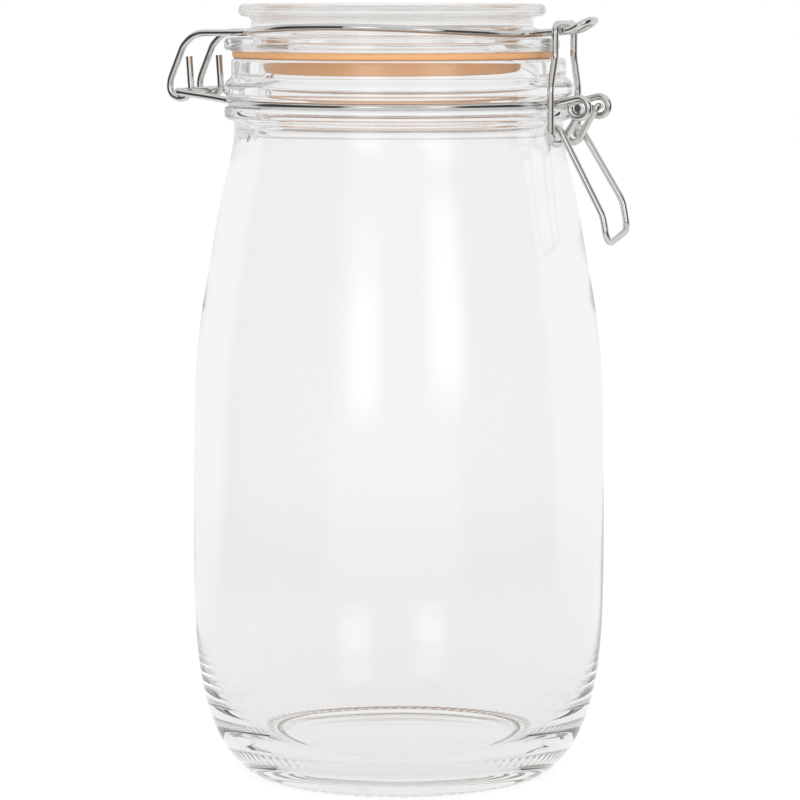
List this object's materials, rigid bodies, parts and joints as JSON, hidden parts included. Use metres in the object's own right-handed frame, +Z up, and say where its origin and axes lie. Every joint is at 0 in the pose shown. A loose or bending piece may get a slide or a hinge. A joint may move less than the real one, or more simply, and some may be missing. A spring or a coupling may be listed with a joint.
{
  "type": "clip-top preserving jar",
  "caption": "Tall clear glass preserving jar, empty, closed by a hinged glass lid on a rubber sealing ring, held down by a sprung wire clasp with a finger lever.",
  "frame": {"origin": "on the jar's axis, at the plane the jar stands on", "axes": "+Z up along the jar's axis, +X toward the clasp and its lever, -X toward the hinge, +Y along the hinge bar"},
  "size_m": [0.1423, 0.1248, 0.232],
  "materials": {
    "jar_glass": "clear moulded soda-lime glass, fire-polished",
    "lid_glass": "clear pressed soda-lime glass",
    "rubber_ring": "orange-brown natural rubber, satin",
    "steel_wire": "bright drawn steel wire"
  },
  "bodies": {
    "jar": {"jar_glass": "jar_glass", "neck_wire": "steel_wire"},
    "lid": {"lid_glass": "lid_glass", "gasket": "rubber_ring", "lid_wire": "steel_wire"},
    "link": {"link": "steel_wire"},
    "lever": {"lever": "steel_wire"}
  },
  "joints": [
    {"name": "lid_hinge", "type": "hinge", "parent": "jar", "child": "lid", "pos_m": [-0.0673, 0, 0.2053], "axis": [0, -1, 0], "range_deg": [0, 110]},
    {"name": "link_swing", "type": "hinge", "parent": "lid", "child": "link", "pos_m": [0.0526, 0, 0.22615], "axis": [0, -1, 0], "range_deg": [0, 95]},
    {"name": "lever_pivot", "type": "hinge", "parent": "jar", "child": "lever", "pos_m": [0.0604, 0, 0.2018], "axis": [0, -1, 0], "range_deg": [0, 140]}
  ]
}
